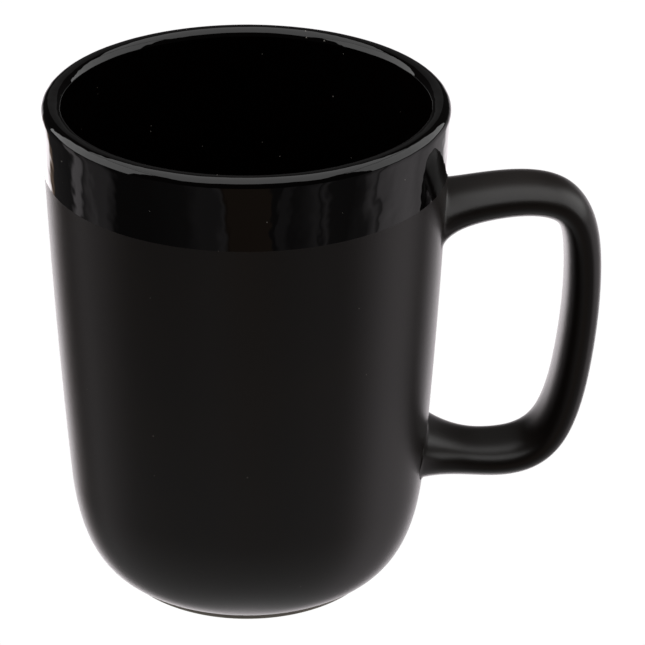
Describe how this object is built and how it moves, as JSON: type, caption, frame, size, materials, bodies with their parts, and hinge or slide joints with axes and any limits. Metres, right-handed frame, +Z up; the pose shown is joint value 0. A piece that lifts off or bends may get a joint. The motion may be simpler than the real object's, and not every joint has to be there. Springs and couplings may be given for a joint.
{
  "type": "mug",
  "caption": "Tall straight-sided stoneware mug with a strap handle, a glossy rim band and liner, and a matte body over a rounded base and foot ring.",
  "frame": {"origin": "on the plane the foot ring stands on, below the middle of the mug's bounding box, handle included", "axes": "+Z up along the cup's axis, +X from the cup towards the handle, +Y across the handle; the XZ plane is the mug's plane of symmetry"},
  "size_m": [0.1247, 0.0894, 0.115],
  "materials": {
    "bare_stoneware": "matte fired clay",
    "fired_slip": "matte fired clay",
    "gloss_black_glaze": "gloss",
    "matte_black_glaze": "satin matte"
  },
  "bodies": {
    "root": {"cup_body": "bare_stoneware", "handle": "bare_stoneware", "upper_slip_joint": "fired_slip", "lower_slip_joint": "fired_slip", "gloss_glaze": "gloss_black_glaze", "matte_glaze_body": "matte_black_glaze", "matte_glaze_handle": "matte_black_glaze", "matte_glaze_base": "matte_black_glaze"}
  },
  "joints": []
}
